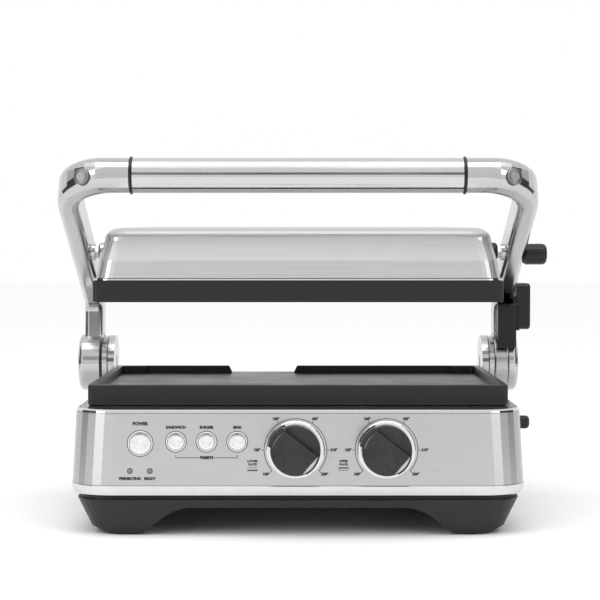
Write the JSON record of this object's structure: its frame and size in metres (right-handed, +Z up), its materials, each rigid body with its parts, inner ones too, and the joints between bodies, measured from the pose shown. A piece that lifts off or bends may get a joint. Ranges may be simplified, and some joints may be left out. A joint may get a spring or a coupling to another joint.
{
  "type": "panini press",
  "caption": "Countertop contact grill with a steel body, round dials and buttons on the front, and a cover that hovers level over the lower plate on a tubular U-shaped handle.",
  "frame": {"origin": "centre of the overall box in X and Y, on the table it stands on", "axes": "+X to the user's right across the press, -Y towards the user and the dials, +Z up from the table"},
  "size_m": [0.4396, 0.3451, 0.3132],
  "materials": {
    "brushed_steel": "horizontal brushed grain",
    "polished_aluminium": "polished casting",
    "bright_trim": "polished",
    "nonstick_cast": "dark non-stick coating on a casting",
    "black_plastic": "satin",
    "rubber": "matte",
    "light_ring": "translucent white",
    "lamp_lens": "smoked lens",
    "plated_steel": "plated",
    "heater_sheath": "heat-darkened sheath",
    "circuit_board": "solder mask"
  },
  "bodies": {
    "base": {"base_tub": "black_plastic", "foot_pad_front_left": "rubber", "foot_pad_front_right": "rubber", "foot_pad_rear_left": "rubber", "foot_pad_rear_right": "rubber", "lower_trim": "bright_trim", "body_band": "brushed_steel", "top_deck": "bright_trim", "lower_plate": "nonstick_cast", "lower_element": "heater_sheath", "lower_heat_shield": "plated_steel", "grease_chute": "plated_steel", "cord_gland": "black_plastic", "power_light_ring": "light_ring", "preset_1_light_ring": "light_ring", "preset_2_light_ring": "light_ring", "preset_3_light_ring": "light_ring", "preheat_lamp": "lamp_lens", "ready_lamp": "lamp_lens", "lower_bezel": "bright_trim", "upper_bezel": "bright_trim", "lower_encoder": "black_plastic", "upper_encoder": "black_plastic", "control_board": "circuit_board", "power_board": "circuit_board", "hinge_bracket_left": "polished_aluminium", "hinge_bracket_right": "polished_aluminium"},
    "power_button": {"power_button": "brushed_steel"},
    "preset_button_1": {"preset_1_button": "brushed_steel"},
    "preset_button_2": {"preset_2_button": "brushed_steel"},
    "preset_button_3": {"preset_3_button": "brushed_steel"},
    "lower_dial": {"lower_dial": "black_plastic"},
    "upper_dial": {"upper_dial": "black_plastic"},
    "plate_release": {"plate_release_button": "black_plastic"},
    "drip_tray": {"drip_tray": "black_plastic"},
    "rotor": {"hinge_pin_left": "plated_steel", "hinge_pin_right": "plated_steel", "cam_ring_left": "polished_aluminium", "cam_ring_right": "polished_aluminium", "step_cam": "plated_steel"},
    "arm": {"arm_left": "polished_aluminium", "arm_right": "polished_aluminium", "corner_cap_left": "polished_aluminium", "corner_cap_right": "polished_aluminium", "handle_tube": "brushed_steel", "handle_ring_left": "black_plastic", "handle_ring_right": "black_plastic", "pivot_pin_left": "plated_steel", "pivot_pin_right": "plated_steel", "lever_pin": "plated_steel"},
    "height_lever": {"height_lever": "black_plastic"},
    "lock_lever": {"lock_lever": "black_plastic"},
    "cover": {"cover_shell": "brushed_steel", "cover_lip": "bright_trim", "upper_plate": "nonstick_cast", "upper_element": "heater_sheath", "upper_heat_shield": "plated_steel", "pivot_boss_left": "plated_steel", "pivot_boss_right": "black_plastic"}
  },
  "joints": [
    {"name": "lid_open", "type": "hinge", "parent": "base", "child": "rotor", "pos_m": [-0.0079, 0.1361, 0.124], "axis": [-1, 0, 0], "range_deg": [0, 115]},
    {"name": "press_arm", "type": "hinge", "parent": "rotor", "child": "arm", "pos_m": [-0.0079, 0.1361, 0.124], "axis": [1, 0, 0], "range_deg": [0, 31.17]},
    {"name": "cover_level", "type": "hinge", "parent": "arm", "child": "cover", "pos_m": [-0.0079, 0.0361, 0.2315], "axis": [1, 0, 0], "range_deg": [-32, 0]},
    {"name": "height_lever_rock", "type": "hinge", "parent": "arm", "child": "height_lever", "pos_m": [-0.0079, 0.1415, 0.174], "axis": [-1, 0, 0], "range_deg": [0, 8]},
    {"name": "lock_lever_turn", "type": "hinge", "parent": "arm", "child": "lock_lever", "pos_m": [-0.0079, 0.0361, 0.2315], "axis": [1, 0, 0], "range_deg": [0, 40]},
    {"name": "power_press", "type": "slide", "parent": "base", "child": "power_button", "axis": [0, 1, 0], "range_m": [0, 0.0015], "stiffness_N_per_m": 500},
    {"name": "preset_1_press", "type": "slide", "parent": "base", "child": "preset_button_1", "axis": [0, 1, 0], "range_m": [0, 0.0015], "stiffness_N_per_m": 400},
    {"name": "preset_2_press", "type": "slide", "parent": "base", "child": "preset_button_2", "axis": [0, 1, 0], "range_m": [0, 0.0015], "stiffness_N_per_m": 400},
    {"name": "preset_3_press", "type": "slide", "parent": "base", "child": "preset_button_3", "axis": [0, 1, 0], "range_m": [0, 0.0015], "stiffness_N_per_m": 400},
    {"name": "lower_dial_turn", "type": "hinge", "parent": "base", "child": "lower_dial", "pos_m": [-0.0099, -0.1519, 0.0708], "axis": [0, -1, 0], "range_deg": [0, 256]},
    {"name": "upper_dial_turn", "type": "hinge", "parent": "base", "child": "upper_dial", "pos_m": [0.0643, -0.1519, 0.0708], "axis": [0, -1, 0], "range_deg": [0, 256]},
    {"name": "plate_release_press", "type": "slide", "parent": "base", "child": "plate_release", "axis": [-1, 0, 0], "range_m": [0, 0.003], "stiffness_N_per_m": 500},
    {"name": "drip_tray_slide", "type": "slide", "parent": "base", "child": "drip_tray", "axis": [0, -1, 0], "range_m": [-0.125, 0]}
  ],
  "couplings": [
    {"joint": "cover_level", "follows": "press_arm", "ratio": -1}
  ]
}
